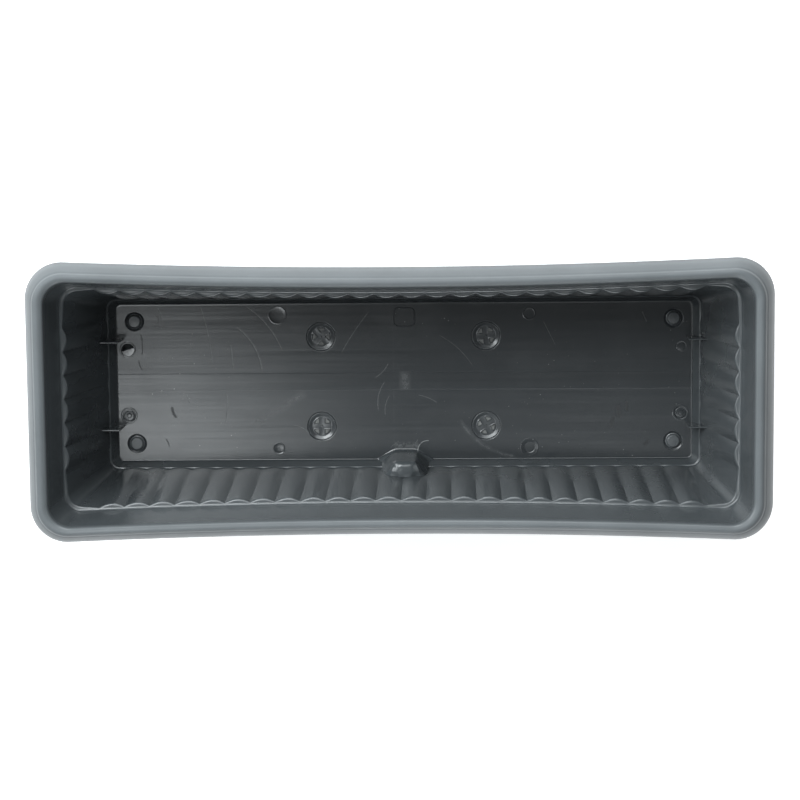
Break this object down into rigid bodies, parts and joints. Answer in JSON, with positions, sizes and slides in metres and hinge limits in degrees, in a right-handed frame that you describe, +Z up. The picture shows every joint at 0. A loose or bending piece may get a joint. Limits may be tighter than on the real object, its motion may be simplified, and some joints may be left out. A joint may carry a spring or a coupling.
{
  "type": "self-watering planter",
  "caption": "Long window-box planter with fluted walls and a rolled rim, standing in a water tray, with push pins and wick plugs in its floor.",
  "frame": {"origin": "on the ground, under the middle of the planter", "axes": "+Z up, +X along the planter, +Y to the back; the filling spout is at the front, at -Y"},
  "size_m": [0.6, 0.2278, 0.195],
  "materials": {
    "box_plastic": "satin anthracite polypropylene",
    "tray_plastic": "satin anthracite polypropylene",
    "pin_plastic": "satin anthracite polypropylene",
    "plug_plastic": "satin anthracite polypropylene",
    "wick_fibre": "grey bonded polyester fibre"
  },
  "bodies": {
    "tray": {"water_tray": "tray_plastic"},
    "box": {"planter_box": "box_plastic"},
    "pin_back_left": {"locking_pin_back_left": "pin_plastic"},
    "plug_back_left": {"wick_plug_back_left": "plug_plastic", "wick_rod_back_left": "wick_fibre"},
    "pin_back_right": {"locking_pin_back_right": "pin_plastic"},
    "plug_back_right": {"wick_plug_back_right": "plug_plastic", "wick_rod_back_right": "wick_fibre"},
    "pin_front_left": {"locking_pin_front_left": "pin_plastic"},
    "plug_front_left": {"wick_plug_front_left": "plug_plastic", "wick_rod_front_left": "wick_fibre"},
    "pin_front_right": {"locking_pin_front_right": "pin_plastic"},
    "plug_front_right": {"wick_plug_front_right": "plug_plastic", "wick_rod_front_right": "wick_fibre"}
  },
  "joints": [
    {"name": "box_lift", "type": "slide", "parent": "tray", "child": "box", "axis": [0, 0, 1], "range_m": [0, 0.08]},
    {"name": "pin_pull_back_left", "type": "slide", "parent": "box", "child": "pin_back_left", "axis": [0, 0, 1], "range_m": [0, 0.04]},
    {"name": "plug_pull_back_left", "type": "slide", "parent": "box", "child": "plug_back_left", "axis": [0, 0, 1], "range_m": [0, 0.04]},
    {"name": "pin_pull_back_right", "type": "slide", "parent": "box", "child": "pin_back_right", "axis": [0, 0, 1], "range_m": [0, 0.04]},
    {"name": "plug_pull_back_right", "type": "slide", "parent": "box", "child": "plug_back_right", "axis": [0, 0, 1], "range_m": [0, 0.04]},
    {"name": "pin_pull_front_left", "type": "slide", "parent": "box", "child": "pin_front_left", "axis": [0, 0, 1], "range_m": [0, 0.04]},
    {"name": "plug_pull_front_left", "type": "slide", "parent": "box", "child": "plug_front_left", "axis": [0, 0, 1], "range_m": [0, 0.04]},
    {"name": "pin_pull_front_right", "type": "slide", "parent": "box", "child": "pin_front_right", "axis": [0, 0, 1], "range_m": [0, 0.04]},
    {"name": "plug_pull_front_right", "type": "slide", "parent": "box", "child": "plug_front_right", "axis": [0, 0, 1], "range_m": [0, 0.04]}
  ]
}
